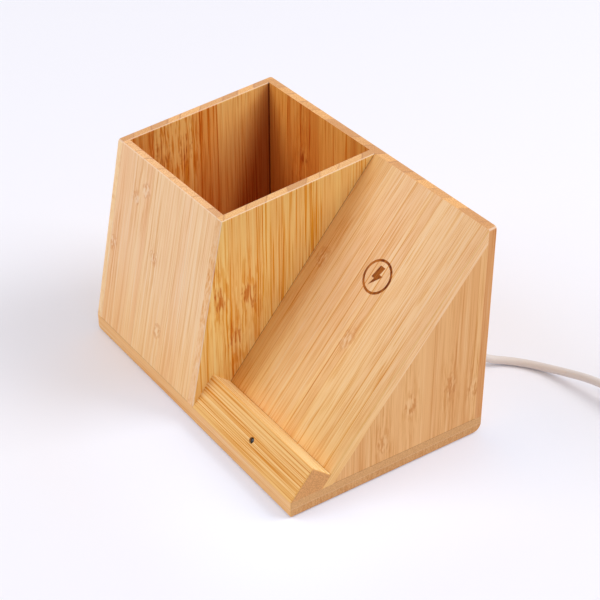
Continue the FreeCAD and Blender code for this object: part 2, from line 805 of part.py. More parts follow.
group("cord_lead", [sweep(edges, val("cord_dia"))])

# Coil: half turns that spiral in on the upper layer, step down in the tightest half turn and
# spiral out on the lower layer, with a straight end one cord diameter long on each side
half_turns = 6
coil_in = lead_points[-1]
outer_loop = val("loop_inner") + half_turns * loop_pitch / 2
stub = val("cord_dia")
coil_middle = coil_in + Vector(stub, outer_loop, 0)


def half_turn(start, reach):
    """A level half circle from start to the point opposite, reach away along Y."""
    radius = abs(reach) / 2
    middle = start + Vector(radius if reach > 0 else -radius, reach / 2, 0)
    return Part.Arc(start, middle, start + Vector(0, reach, 0)).toShape()


def stepped_half_turn(start, reach, drop):
    """A half turn that also goes down a layer: two quarter turns, each a pair of tangent arcs."""
    radius = abs(reach) / 2
    side = 1 if reach > 0 else -1
    beside = start + Vector(side * radius, reach / 2, -drop / 2)
    end = start + Vector(0, reach, -drop)
    slope = Vector(0, reach, -2 * drop * 2 / math.pi).normalize()
    ahead = Vector(side, 0, 0)
    return tangent_arcs(start, ahead, beside, slope) + tangent_arcs(beside, slope, end, ahead * -1)


def tangent_arcs(start, start_way, end, end_way):
    """Two arcs that leave start along start_way, meet smoothly and reach end along end_way."""
    span = end - start
    ways = start_way + end_way
    square = 2 * (1 - start_way.dot(end_way))
    along = span.dot(ways)
    arm = (-along + math.sqrt(along**2 + square * span.dot(span))) / square
    first_arm = start + start_way * arm
    second_arm = end - end_way * arm
    joint = (first_arm + second_arm) / 2
    return [arc_from(start, first_arm, joint), arc_from(joint, second_arm, end)]


def arc_from(start, corner, end):
    """The arc that is tangent at start and end to the two equal arms that meet at corner."""
    inward = (corner - start).normalize()
    outward = (end - corner).normalize()
    half = inward.getAngle(outward) / 2
    radius = (corner - start).Length / math.tan(half)
    side = (outward - inward).normalize()
    return Part.Arc(start, corner + side * (radius / math.cos(half) - radius), end).toShape()


turns = [Part.LineSegment(coil_in, coil_in + Vector(stub, 0, 0)).toShape()]
place = coil_in + Vector(stub, 0, 0)
heading = 1
for count in range(half_turns):
    reach = heading * 2 * (outer_loop - count * loop_pitch / 2)
    turns.append(half_turn(place, reach))
    place = place + Vector(0, reach, 0)
    heading = -heading
turns += stepped_half_turn(place, heading * 2 * val("loop_inner"), loop_pitch)
place = place + Vector(0, heading * 2 * val("loop_inner"), -loop_pitch)
heading = -heading
for count in range(1, half_turns + 1):
    reach = heading * 2 * (val("loop_inner") + count * loop_pitch / 2)
    turns.append(half_turn(place, reach))
    place = place + Vector(0, reach, 0)
    heading = -heading
coil_out = place - Vector(stub, 0, 0)
turns.append(Part.LineSegment(place, coil_out).toShape())
coil_length = Part.Wire(turns).Length
group("cord_coil", [sweep(turns, val("cord_dia"))])

spacing = val("cord_dia") / 2
line = [point for edge in turns for point in edge.discretize(Distance=spacing)[:-1]]
near = math.ceil(4 * val("cord_dia") / spacing)
gap = min(
    line[i].distanceToPoint(line[k]) for i in range(len(line)) for k in range(i + near, len(line))
)
print("cord_coil least gap to itself", round(gap - val("cord_dia"), 2))

# Tail of the cord to the plug, which lies beside the coil
plug_line = val("grip_thick") / 2
tail_route = [
    (0, 0, lower_line),
    (-9, 0, lower_line),
    (-18.2, 0.9, plug_line),
    (-27, 0.9, plug_line),
]
tail_points = [Vector(coil_out.x + x, coil_out.y + y, z) for x, y, z in tail_route]
edges, radii = bend_line(tail_points)
print("cord_tail bend radii", [round(r, 1) for r in radii])
tail_length = Part.Wire(edges).Length
group("cord_tail", [sweep(edges, val("cord_dia"))])
print("cord length", round(lead_length + coil_length + tail_length))

# Tie round the left side of the coil, where three loops lie on three
inner_edge = val("loop_inner") + loop_pitch / 2 - table_line - val("tie_slack")
outer_edge = outer_loop - loop_pitch / 2 + table_line + val("tie_slack")
strap = val("tie_thick")
floor_gap = lower_line - table_line - val("tie_seat")
tie_low = Vector(coil_middle.x - outer_edge - strap, coil_middle.y - val("tie_width") / 2, floor_gap - strap)
tie_span = outer_edge - inner_edge
tie_rise = loop_pitch + val("cord_dia") + 2 * val("tie_seat")


def strap_block(low, span, rise, corner):
    block = Part.makeBox(span, val("tie_width"), rise, low)
    edges = [e for e in block.Edges if abs(e.tangentAt(e.FirstParameter).y) > 0.5]
    return block.makeFillet(corner, edges)


outside = strap_block(tie_low, tie_span + 2 * strap, tie_rise + 2 * strap, val("tie_corner"))
inside = strap_block(
    tie_low + Vector(strap, 0, strap), tie_span, tie_rise, val("tie_corner") - strap
)
group("cord_tie", [outside.cut(inside)])

# Plug, drawn along X and turned to lie along the coil
plug_start = tail_points[-1]


def seat_plug(piece, ahead="0"):
    piece.Placement = Placement(plug_start, Rotation(Vector(0, 0, 1), 180))
    piece.setExpression("Placement.Base.x", f"{plug_start.x} - ({ahead})")


plug_grip = new_body("plug_grip")
sketch = draw_rectangle(
    new_sketch(plug_grip, "YZ_Plane", "Sizes.relief_length"),
    "-Sizes.grip_width / 2",
    "-Sizes.grip_thick / 2",
    "Sizes.grip_width / 2",
    "Sizes.grip_thick / 2",
)
pad(plug_grip, sketch, "Sizes.grip_length")
base, length = val("relief_length"), val("grip_length")
half_width, half_thick = val("grip_width") / 2, val("grip_thick") / 2
ease(
    plug_grip,
    [
        Vector(base + length / 2, side * half_width, end * half_thick) for side in (-1, 1) for end in (-1, 1)
    ]
    + [Vector(base, side * half_width, 0) for side in (-1, 1)]
    + [Vector(base, 0, end * half_thick) for end in (-1, 1)],
    "Sizes.grip_round",
)
sketch = draw_circle(new_sketch(plug_grip, "YZ_Plane"), "0", "0", "Sizes.relief_tip_dia")
taper = pad(plug_grip, sketch, "Sizes.relief_length")
taper.setExpression(
    "TaperAngle", "atan((Sizes.relief_root_dia - Sizes.relief_tip_dia) / 2 / Sizes.relief_length)"
)
seat_plug(plug_grip)

plug_shell = new_body("plug_shell")
sketch = new_sketch(plug_shell, "YZ_Plane")
for wall in ("0", "Sizes.shell_wall"):
    half_across = f"(Sizes.shell_width / 2 - {wall})"
    half_high = f"(Sizes.shell_thick / 2 - {wall})"
    draw_rectangle(sketch, f"-{half_across}", f"-{half_high}", half_across, half_high)
pad(plug_shell, sketch, "Sizes.shell_length")
shell_start = "Sizes.relief_length + Sizes.grip_length"
seat_plug(plug_shell, shell_start)

plug_tongue = new_body("plug_tongue")
sketch = draw_rectangle(
    new_sketch(plug_tongue, "YZ_Plane"),
    "-Sizes.shell_width / 2 + Sizes.shell_wall",
    "-Sizes.shell_thick / 2 + Sizes.shell_wall",
    "Sizes.shell_width / 2 - Sizes.shell_wall",
    "-Sizes.shell_thick / 2 + Sizes.shell_wall + Sizes.tongue_thick",
)
pad(plug_tongue, sketch, "Sizes.shell_length - Sizes.tongue_short")
seat_plug(plug_tongue, shell_start)

# Check every object, then write each sub-part

doc.recompute()
for item in doc.Objects:
    if "Invalid" in item.State or "Error" in item.State:
        raise RuntimeError(f"{item.Name} did not compute: {item.State}")
pieces = [item for item in doc.Objects if item.TypeId in ("PartDesign::Body", "Part::Feature")]
for piece in pieces:
    if piece.Shape.isNull() or not piece.Shape.isValid():
        raise RuntimeError(f"{piece.Label} has no valid shape")
os.makedirs("parts", exist_ok=True)
for piece in pieces:
    piece.Shape.exportStep(f"parts/{piece.Label}.step")
print(len(pieces), "sub-parts written")
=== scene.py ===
import math

import bmesh
import bpy
from mathutils import Matrix, Vector


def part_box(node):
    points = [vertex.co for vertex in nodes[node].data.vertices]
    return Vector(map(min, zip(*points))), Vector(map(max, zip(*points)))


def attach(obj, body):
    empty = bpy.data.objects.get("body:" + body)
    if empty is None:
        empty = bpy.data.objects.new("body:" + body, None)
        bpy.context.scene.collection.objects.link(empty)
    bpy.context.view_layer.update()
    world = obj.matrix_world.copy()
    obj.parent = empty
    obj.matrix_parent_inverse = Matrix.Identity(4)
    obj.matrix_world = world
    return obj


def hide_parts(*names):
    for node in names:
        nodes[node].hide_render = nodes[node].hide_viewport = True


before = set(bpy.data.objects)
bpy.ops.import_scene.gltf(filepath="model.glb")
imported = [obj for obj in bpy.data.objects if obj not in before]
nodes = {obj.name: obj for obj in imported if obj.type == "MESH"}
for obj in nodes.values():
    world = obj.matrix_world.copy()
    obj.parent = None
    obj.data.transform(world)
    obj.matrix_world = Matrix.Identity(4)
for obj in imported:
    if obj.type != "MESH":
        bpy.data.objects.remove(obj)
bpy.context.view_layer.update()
scene = bpy.context.scene
scene.view_settings.view_transform = "Standard"
print("frame loaded:", len(nodes), "CAD nodes")


# camera, at the photo's angle

cameraLook = {
    "place": (0.5268, -0.3500, 0.4780),
    "azimuth": 55.54,  # degrees
    "elevation": 34.284,
    "lens": 94.29,  # mm, for a square picture
    "sensor": 36,
}

lens = bpy.data.cameras.new("camera")
lens.sensor_fit = "HORIZONTAL"
lens.sensor_width = cameraLook["sensor"]
lens.lens = cameraLook["lens"]
cameraObject = bpy.data.objects.new("camera", lens)
cameraObject.location = cameraLook["place"]
cameraObject.rotation_euler = (
    math.radians(90 - cameraLook["elevation"]),
    0,
    math.radians(cameraLook["azimuth"]),
)
scene.collection.objects.link(cameraObject)
scene.camera = cameraObject
print("camera set")


# node helpers

noiseMiddle = 0.5
noiseSpan = (0.2, 0.8)  # where nearly all of a noise lies


def paint(code):  # screen colour such as "ebbe94", as a scene colour
    screen = [int(code[i : i + 2], 16) / 255 for i in (0, 2, 4)]
    return [c / 12.92 if c <= 0.04045 else ((c + 0.055) / 1.055) ** 2.4 for c in screen] + [1]


def addNode(tree, kind, inputs=None, **settings):
    made = tree.nodes.new(kind)
    for key, value in settings.items():
        setattr(made, key, value)
    for key, value in (inputs or {}).items():
        if isinstance(value, bpy.types.NodeSocket):
            tree.links.new(value, made.inputs[key])
        else:
            made.inputs[key].default_value = value
    return made


def maths(tree, operation, first, second=0.0):
    return addNode(tree, "ShaderNodeMath", {0: first, 1: second}, operation=operation).outputs[0]


def vectorMaths(tree, operation, first, second=(0, 0, 0)):
    return addNode(tree, "ShaderNodeVectorMath", {0: first, 1: second}, operation=operation).outputs


def remap(tree, value, low, high, start=0.0, end=1.0):
    inputs = {"Value": value, "From Min": low, "From Max": high, "To Min": start, "To Max": end}
    made = addNode(tree, "ShaderNodeMapRange", inputs, interpolation_type="SMOOTHSTEP")
    return made.outputs["Result"]


def mixColours(tree, share, first, second, blend="MIX"):
    inputs = {0: share, 6: first, 7: second}
    return addNode(tree, "ShaderNodeMix", inputs, data_type="RGBA", blend_type=blend).outputs[2]


def tinted(tree, share, colour, tint):
    return mixColours(tree, share, colour, paint(tint), "MULTIPLY")


def noise(tree, vector, scale, detail=2.0, roughness=0.5):
    inputs = {"Vector": vector, "Scale": scale, "Detail": detail, "Roughness": roughness}
    return addNode(tree, "ShaderNodeTexNoise", inputs).outputs[0]


def stretched(tree, vector, shares):
    return vectorMaths(tree, "MULTIPLY", vector, shares)[0]


def drawnNoise(tree, grain, scale, drawn, detail=1):  # drawn out along the grain, more so near 0
    return noise(tree, stretched(tree, grain, (1, drawn, 1)), scale, detail)


def newFinish(name):
    material = bpy.data.materials.new(name)
    material.use_nodes = True
    tree = material.node_tree
    return material, tree, tree.nodes["Principled BSDF"]


def addBump(tree, shader, height, strength, depth):
    inputs = {"Height": height, "Strength": strength, "Distance": depth}
    bump = addNode(tree, "ShaderNodeBump", inputs)
    tree.links.new(bump.outputs["Normal"], shader.inputs["Normal"])


def seenRays(tree):  # the camera's own, and those by which metal and glass show the background
    rays = addNode(tree, "ShaderNodeLightPath").outputs
    seen = maths(tree, "MAXIMUM", rays["Is Camera Ray"], rays["Is Glossy Ray"])
    return maths(tree, "MAXIMUM", seen, rays["Is Transmission Ray"])


def dress(name, material):
    slots = nodes[name].data.materials
    slots.clear()
    slots.append(material)


# supply cord: pale round lead that leaves the back, turns right and is coiled outside the view

cordLook = {
    "diameter": 0.0042,
    "length": 1.038,
    "lead": [  # from the tip of the bushing, heights from the table
        (0.0, 0.0, 0.0135),
        (0.0002, 0.0095, 0.0135),
        (0.0017, 0.0180, 0.0086),
        (0.0041, 0.0268, 0.0034),
        (0.0091, 0.0350, 0.0022),
        (0.0167, 0.0415, 0.0022),
        (0.0260, 0.0466, 0.0029),
        (0.0370, 0.0504, 0.0049),
        (0.0484, 0.0537, 0.0070),
        (0.0608, 0.0560, 0.0081),
        (0.0771, 0.0560, 0.0081),
    ],
    "stub": 0.0042,  # straight end between the lead and the coil
    "halfTurns": 13,
    "perHalfTurn": 8,  # points
    "innerLoop": 0.0142,
    "pitch": 0.0047,
    "upper": 0.0081,
    "lower": 0.0034,
    "tail": [  # from the end of the coil
        (-0.0042, 0.0, 0.0034),
        (-0.0132, 0.0, 0.0034),
        (-0.0224, 0.0009, 0.0040),
        (-0.0312, 0.0009, 0.0040),
    ],
    "roundSteps": 5,
    "lineSteps": 6,  # from one point to the next
    "jacket": "e4dcd8",
    "worn": "dad0cb",
    "wear": 90,
    "grain": 2600,
    "rough": (0.42, 0.55),
    "gloss": 0.4,
    "bump": (0.12, 0.0001),  # strength, depth
}


def coilPoints(start):  # spirals in on the upper layer, steps down in the tightest half turn, spirals out
    points = []
    place = start.copy()
    middle = cordLook["halfTurns"] // 2
    for turn in range(cordLook["halfTurns"]):
        way = 1 if turn % 2 == 0 else -1
        radius = cordLook["innerLoop"] + abs(turn - middle) * cordLook["pitch"] / 2
        centre = place + Vector((0, way * radius, 0))
        for step in range(cordLook["perHalfTurn"]):
            share = step / cordLook["perHalfTurn"]
            angle = math.pi * (share - way / 2)
            if turn < middle:
                height = cordLook["upper"]
            elif turn > middle:
                height = cordLook["lower"]
            else:
                height = cordLook["upper"] + share * (cordLook["lower"] - cordLook["upper"])
            points.append(
                Vector((centre.x + radius * math.cos(angle), centre.y + radius * math.sin(angle), height))
            )
        place = place + Vector((0, 2 * way * radius, 0))
    return points, Vector((place.x, place.y, cordLook["lower"]))


def makeCord():
    low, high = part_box("cord_bushing")
    tip = Vector(((low.x + high.x) / 2, high.y, 0))
    lead = [tip + Vector(point) for point in cordLook["lead"]]
    coil, coilEnd = coilPoints(lead[-1] + Vector((cordLook["stub"], 0, 0)))
    flat = Vector((coilEnd.x, coilEnd.y, 0))
    tail = [flat + Vector(point) for point in cordLook["tail"]]
    route = lead + coil + [coilEnd] + tail
    curve = bpy.data.curves.new("supplyCord", "CURVE")
    curve.dimensions = "3D"
    curve.bevel_depth = 1  # the points' radius gives the thickness, so the box is true
    curve.bevel_resolution = cordLook["roundSteps"]
    curve.resolution_u = cordLook["lineSteps"]
    spline = curve.splines.new("NURBS")
    spline.points.add(len(route) - 1)
    for point, place in zip(spline.points, route):
        point.co = (*place, 1)
        point.radius = cordLook["diameter"] / 2
    spline.order_u = 3
    spline.use_endpoint_u = True
    cord = bpy.data.objects.new("supplyCord", curve)
    scene.collection.objects.link(cord)
    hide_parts("cord_lead", "cord_coil", "cord_tail")
    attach(cord, "root")
    return cord


def jacketFinish(name, look):
    material, tree, shader = newFinish(name)
    place = addNode(tree, "ShaderNodeTexCoord").outputs["Object"]
    wear = noise(tree, place, look["wear"], 3)
    colour = mixColours(tree, wear, paint(look["jacket"]), paint(look["worn"]))
    tree.links.new(colour, shader.inputs["Base Color"])
    grain = noise(tree, place, look["grain"], 2)
    tree.links.new(remap(tree, grain, *noiseSpan, *look["rough"]), shader.inputs["Roughness"])
    shader.inputs["Specular IOR Level"].default_value = look["gloss"]
    addBump(tree, shader, grain, *look["bump"])
    return material


cordPiece = makeCord()
cordFinish = jacketFinish("cordJacket", cordLook)
cordPiece.data.materials.append(cordFinish)
for name in ("cord_inner", "cord_bushing", "plug_grip"):
    dress(name, cordFinish)
print("cord routed")


# bamboo boards: strips of cane glued edge to edge, the fibres as a solid pattern along the grain

xWay, yWay, zWay = Vector((1, 0, 0)), Vector((0, 1, 0)), Vector((0, 0, 1))
panelLow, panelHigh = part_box("charging_panel")
slopeAngle = math.atan2(panelHigh.z - panelLow.z, panelHigh.y - panelLow.y)
slopeUp = Vector((0, math.cos(slopeAngle), math.sin(slopeAngle)))
slopeOut = Vector((0, -math.sin(slopeAngle), math.cos(slopeAngle)))
slopeFoot = Vector((0, panelLow.y, panelLow.z))
ledgeLift = 0.008  # phone rest above the foot of the slope
frontUp = Vector((0, 0.0196, 0.0975)).normalized()  # the front leans back
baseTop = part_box("base_board")[1].z
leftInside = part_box("left_side")[1].x
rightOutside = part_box("right_side")[1].x
backInside, backOutside = (corner.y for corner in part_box("back_panel"))
dividerInside, dividerFace = (corner.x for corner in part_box("divider"))
leftLit = Vector((0, -0.955, 0.296)).normalized()  # out of the painted shade in the corner of the pen box
backLit = Vector((0.93, 0, 0.37)).normalized()

bambooLook = {
    "plain": {  # what a board has unless its own entry says otherwise
        "seed": 0.0,
        "strip": 0.013,
        "vary": 0.12,  # how far the strips differ
        "light": "fdd8a5",
        "mid": "f9cb97",
        "pale": "ffeccb",
        "line": "e4b761",  # tint of the dark fibres
        "edge": "ffe6cd",  # sanded edges, partly a painted highlight along the arris
        "arris": 0.5,  # how much these show
        "endLight": "fbc78e",
        "endDark": "dfa56e",
        "endJoint": "b87e57",
        "endSeam": 0.65,
        "wave": 0.0005,
        "fibre": 800,  # fibres per metre, about
        "uneven": (0.45, 1.2),  # least and most fibres in a strip
        "run": 0.014,  # how soon the fibres change along the grain
        "lines": 0.75,
        "hair": 0.5,
        "seam": 0.4,
        "knots": [],  # places of the knuckles
        "knot": "eacbae",  # tint of the marks in a knuckle
        "knotSize": (0.0042, 0.0060),
        "knotPale": 0.4,
        "dash": 0.3,  # how short the marks are
        "rind": 0.6,
        "flame": 0.4,  # more dark fibres round a knuckle
        "flameSize": (0.008, 0.032),
        "streaks": 0.15,
        "swirl": 0.002,
        "quiet": [],  # faces with a calmer grain: direction, share
        "tonesAndPaintedBounce": [],  # faces with a deeper colour, on the inner faces of the pen box a painted shade and warm bounce light: direction, tint
        "fadesAndShade": [],  # deeper towards a place; the pen box corners, the band beside the divider and the foot of the slope are painted shade and bounce light: face or None, point, direction, reach, tint
        "glue": [],  # thin glue lines: face, point, direction across the line, width
        "restFace": None,  # paler face: direction, colour, share
        "ply": None,  # height of the joint between two plies
    },
    "pen_box_front": {
        "across": xWay,
        "along": frontUp,
        "seed": 1.3,
        "light": "f9d2a3",
        "mid": "f5c595",
        "pale": "fbe4c7",
        "uneven": (0.7, 1.1),
        "lines": 0.3,
        "hair": 0.4,
        "knots": [
            (-0.0666, -0.0399, 0.0857),
            (-0.0587, -0.0385, 0.0928),
            (-0.0450, -0.0444, 0.0634),
            (-0.0331, -0.0513, 0.0292),
            (-0.0828, -0.0463, 0.0539),
        ],
        "knotSize": (0.0036, 0.0046),
        # the inner face of the front gets a painted shade and warm bounce light of the pen box
        "tonesAndPaintedBounce": [(yWay, "fce1a0")],
        "fadesAndShade": [(None, (0, 0, baseTop), zWay, 0.06, "fff6e2")],
        "glue": [(-yWay, (0, 0, baseTop), zWay, 0.0003)],
    },
    "left_side": {
        "across": yWay,
        "along": zWay,
        "seed": 4.1,
        "vary": 0.3,
        "mid": "f4bc7e",
        "endLight": "f7c285",
        "endDark": "dda168",
        "wave": 0.001,
        "lines": 1.0,
        "hair": 0.7,
        "knots": [(leftInside, -0.0006, 0.0931), (leftInside, -0.0136, 0.0928)],
        "knot": "d4a261",
        "knotSize": (0.0050, 0.0110),
        "knotPale": 0.15,
        "dash": 0.12,
        "rind": 0.0,
        "flame": 0.6,
        "flameSize": (0.014, 0.040),
        "streaks": 0.9,
        "quiet": [(-yWay, 0.8), (-xWay, 0.6)],
        # the inner face gets a painted shade and warm bounce light of the pen box
        "tonesAndPaintedBounce": [(xWay, "fff0ba")],
        "fadesAndShade": [
            # painted shade in the pen box: a slanted shadow by the back corner, deeper towards the front
            # corner
            (xWay, (0, 0.0475, 0.085), leftLit, 0.0165, "b68a76"),
            (xWay, (0, -0.045, 0), yWay, 0.045, "ded5cc"),
            (xWay, (0, backInside - 0.0003, 0), -yWay, 0.0006, "9c7a68"),  # dark line in the corner
        ],
    },
    "divider": {
        "across": yWay,
        "along": zWay,
        "seed": 7.7,
        "line": "e9bc4b",
        "endLight": "ffcf92",
        "endDark": "ebb278",
        "wave": 0.0016,
        "lines": 1.0,
        "hair": 0.7,
        "seam": 0.5,
        "knots": [
            (dividerFace, -0.0219, 0.0613),
            (dividerFace, -0.0294, 0.0376),
            (dividerFace, -0.0380, 0.0632),
        ],
        "knot": "dcab7e",
        "knotSize": (0.0050, 0.0100),
        "knotPale": 0.15,
        "dash": 0.12,
        "rind": 0.0,
        "flame": 0.2,
        "flameSize": (0.012, 0.034),
        "streaks": 0.7,
        "quiet": [(-yWay, 0.6)],
        # towards the panel a painted warm bounce light, on the inner face a painted shade and bounce of
        # the pen box; the front edge is its own pinker tone
        "tonesAndPaintedBounce": [(xWay, "faf6cc"), (-xWay, "fce1a0"), (-yWay, "f9eee9")],
        "fadesAndShade": [(None, (0, 0, 0.115), -zWay, 0.06, "f4eee6")],
        "glue": [(xWay, slopeFoot, slopeOut, 0.0003)],
    },
    "back_panel": {
        "across": xWay,
        "along": zWay,
        "seed": 2.6,
        "vary": 0.25,
        "mid": "ecb478",
        "endLight": "f9c07f",
        "endDark": "db9f63",
        "wave": 0.001,
        "lines": 1.0,
        "hair": 0.7,
        "knots": [
            (-0.0544, backInside, 0.0856),
            (0.020, backOutside, 0.060),
            (0.055, backOutside, 0.033),
        ],
        "knot": "d4a261",
        "dash": 0.12,
        "rind": 0.0,
        "flame": 0.6,
        "flameSize": (0.014, 0.040),
        "streaks": 0.6,
        "quiet": [(yWay, 0.6)],
        # the inner face gets a painted shade and warm bounce light of the pen box
        "tonesAndPaintedBounce": [(-yWay, "f7d48b"), (xWay, "e8d3be")],
        "fadesAndShade": [
            # painted shade in the corners of the pen box, by the left wall and by the divider
            (-yWay, (leftInside, 0, 0.085), backLit, 0.02, "dac4b4"),
            (-yWay, (dividerInside, 0, 0), -xWay, 0.03, "eee9e0"),
            (-yWay, (leftInside + 0.0002, 0, 0), xWay, 0.0006, "9c7a68"),  # dark line in the corner
        ],
    },
    "right_side": {
        "across": yWay,
        "along": zWay,
        "seed": 5.2,
        "strip": 0.011,
        "light": "ebb67a",
        "mid": "e3a96c",
        "pale": "f4ca95",
        "line": "dcb650",
        "edge": "eec085",
        "arris": 0.3,
        "lines": 0.4,
        "hair": 0.45,
        "knots": [
            (rightOutside, 0.0340, 0.0366),
            (rightOutside, 0.0108, 0.0350),
            (rightOutside, -0.0044, 0.0187),
            (rightOutside, 0.0483, 0.0293),
        ],
        "knot": "e9d2b4",
        "knotSize": (0.0040, 0.0082),
        "dash": 0.2,
        "rind": 0.1,
        "streaks": 0.35,
        "swirl": 0.001,
        "glue": [(xWay, (0, 0, baseTop), zWay, 0.0004)],
    },
    "charging_panel": {
        "across": xWay,
        "along": slopeUp,
        "seed": 9.4,
        "strip": 0.0068,
        "vary": 0.1,
        "light": "fed39f",
        "mid": "f8c793",
        "pale": "fee2c2",
        "line": "e6be5e",
        "edge": "ecb86d",
        "arris": 0.6,
        "fibre": 1250,
        "uneven": (0.75, 1.1),
        "lines": 0.45,
        "hair": 0.7,
        "seam": 1.0,
        "knots": [(0.0132, 0.0153, 0.0731), (0.0545, 0.0003, 0.0553)],
        "knot": "edd7bc",
        "swirl": 0.001,
        "fadesAndShade": [
            # painted shadow of the divider on the panel beside it
            (None, (dividerFace, 0, 0), xWay, 0.026, "f0e1ba"),
            # painted warm bounce light towards the foot of the slope
            (None, slopeFoot, slopeUp, 0.095, "fdfbe2"),
            (None, (rightOutside, 0, 0), -xWay, 0.05, "f8f6f4"),
        ],
        "glue": [
            (slopeOut, slopeFoot + slopeUp * ledgeLift, slopeUp, 0.0003),
            (slopeOut, (dividerFace, 0, 0), xWay, 0.0003),
        ],
    },
    "phone_ledge": {
        "across": slopeUp,
        "along": xWay,
        "seed": 3.3,
        "strip": 0.0015,
        "light": "fcce8a",
        "mid": "f4bf71",
        "pale": "fedca5",
        "line": "e8bc50",
        "edge": "eeb060",
        "endLight": "dea264",
        "endDark": "c68c54",
        "endSeam": 0.0,
        "fibre": 1300,
        "run": 0.005,
        "lines": 1.0,
        "hair": 1.0,
        "seam": 0.6,
        "glue": [(slopeOut, slopeFoot, slopeOut, 0.0003)],
        "restFace": (slopeUp, "ffeebc", 0.75),
    },
    "base_board": {
        "across": yWay,
        "along": xWay,
        "seed": 6.6,
        "strip": 0.016,
        "light": "f4c081",
        "mid": "efb671",
        "pale": "fbe6c8",
        "edge": "e8b470",
        "arris": 0.4,
        "endLight": "deab73",
        "endDark": "cb975f",
        "endSeam": 0.0,
        "lines": 0.35,
        "hair": 0.4,
        "tonesAndPaintedBounce": [(zWay, "f4d898")],
        "ply": 0.0051,
    },
}

caneLook = {  # alike on every board; an edge is the span over which a mark comes in or fades out
    "facing": (0.6, 0.9),
    "endFacing": (0.6, 0.85),
    "arrisFacing": (0.80, 0.97),
    "stripSpread": 0.75,
    "plyShift": 0.37,  # strips of the upper ply, from those of the lower
    "sway": (60, 0.25),  # scale, and how drawn out
    "stripShift": 6,  # keeps the fibres of two strips apart
    "broad": 190,
    "fineDetail": (2, 0.6),  # and roughness
    "hairTimes": 2.6,  # hairs to a fibre
    "hueEdge": (0.32, 0.68),
    "paleEdge": (0.46, 0.32),
    "paleShare": 0.4,
    "lineEdge": (0.53, 0.66),
    "hairEdge": (0.54, 0.68),
    "seamEdge": (0.00005, 0.0004),
    "seamBreaks": (90, 0.15),
    "seamBreakEdge": (0.38, 0.6),
    "seamLeast": 0.3,  # share of a seam that stays in its breaks
    "rough": 0.5,
    "gloss": 0.2,
}


def planeGap(tree, place, point, direction):  # signed distance from a plane
    height = vectorMaths(tree, "DOT_PRODUCT", place, direction)["Value"]
    return maths(tree, "SUBTRACT", height, Vector(point).dot(direction))


def facingMask(tree, normal, direction):
    alike = vectorMaths(tree, "DOT_PRODUCT", normal, direction)["Value"]
    return remap(tree, alike, *caneLook["facing"])


def stripNodes(tree, place, width):  # random picks of each strip, and the distance from its joint
    inputs = {"W": place, "Scale": 1 / width, "Randomness": caneLook["stripSpread"]}
    settings = {"voronoi_dimensions": "1D"}
    strips = addNode(tree, "ShaderNodeTexVoronoi", inputs, **settings)
    edges = addNode(tree, "ShaderNodeTexVoronoi", inputs, feature="DISTANCE_TO_EDGE", **settings)
    picks = addNode(tree, "ShaderNodeSeparateColor", {0: strips.outputs["Color"]}).outputs
    return picks, maths(tree, "MULTIPLY", edges.outputs["Distance"], width)


def boardPlaces(tree, look):  # places and facings in the board's own directions
    coords = addNode(tree, "ShaderNodeTexCoord").outputs
    turn = Matrix((look["across"], look["along"], look["across"].cross(look["along"])))
    turned = {"Rotation": turn.to_euler()}
    grain = addNode(tree, "ShaderNodeMapping", {"Vector": coords["Object"], **turned}).outputs[0]
    facing = addNode(tree, "ShaderNodeMapping", {"Vector": coords["Normal"], **turned}).outputs[0]
    facing = vectorMaths(tree, "ABSOLUTE", facing)[0]
    across, along, deep = addNode(tree, "ShaderNodeSeparateXYZ", {0: grain}).outputs
    faceSide, faceEnd, faceFlat = addNode(tree, "ShaderNodeSeparateXYZ", {0: facing}).outputs
    flattest = maths(tree, "MAXIMUM", maths(tree, "MAXIMUM", faceSide, faceEnd), faceFlat)
    return {
        "turn": turn,
        "place": coords["Object"],
        "normal": coords["Normal"],
        "grain": grain,
        "across": across,
        "along": along,
        "deep": deep,
        "endGrain": remap(tree, faceEnd, *caneLook["endFacing"]),
        "arris": remap(tree, flattest, *caneLook["arrisFacing"], look["arris"], 0),
    }


def layStrips(tree, look, wood):  # strips, each with its own hue and its own share of dark fibres
    line = maths(tree, "ADD", wood["across"], look["seed"])
    if look["ply"]:
        height = addNode(tree, "ShaderNodeSeparateXYZ", {0: wood["place"]}).outputs["Z"]
        wood["upperPly"] = maths(tree, "GREATER_THAN", height, look["ply"])
        shift = maths(tree, "MULTIPLY", wood["upperPly"], caneLook["plyShift"])
        line = maths(tree, "ADD", line, shift)
    wood["stripLine"] = line
    wood["picks"], wood["toJoint"] = stripNodes(tree, line, look["strip"])
    streaky = remap(tree, wood["picks"][2], 0, 1, *look["uneven"])
    calm = None
    for direction, share in look["quiet"]:
        mask = maths(tree, "MULTIPLY", facingMask(tree, wood["normal"], direction), share)
        calm = mask if calm is None else maths(tree, "MAXIMUM", calm, mask)
    if calm is not None:
        streaky = maths(tree, "MULTIPLY", streaky, maths(tree, "SUBTRACT", 1, calm))
    wood["calm"] = calm
    wood["streaky"] = streaky


# knuckles of the cane: the fibres bend round them and darken, with pale and dark marks inside

knuckleLook = {
    "ragged": 420,
    "edge": (0.35, 1.05),  # in knuckle sizes from the middle
    "flameEdge": (0.3, 1.1),
    "swirl": (170, 0.3),  # scale, and how drawn out
    "streaks": (900, 0.1, 2),
    "streakEdge": (0.48, 0.62),
    "dashes": 850,
    "brightEdge": (0.54, 0.38),
    "brightLeast": 0.1,
    "fleckEdge": (0.48, 0.60),
    "rindAt": 0.75,
    "rindEdge": (0.05, 0.3),
    "rindBreaks": 300,
    "rindBreakEdge": (0.42, 0.58),
}


def knotGap(tree, look, wood, wide, long):  # from the nearest knuckle, in its own sizes
    scaled = stretched(tree, wood["grain"], (1 / wide, 1 / long, 0))
    nearest = None
    for knot in look["knots"]:
        spot = wood["turn"] @ Vector(knot)
        away = vectorMaths(tree, "DISTANCE", scaled, (spot.x / wide, spot.y / long, 0))["Value"]
        nearest = away if nearest is None else maths(tree, "MINIMUM", nearest, away)
    return nearest


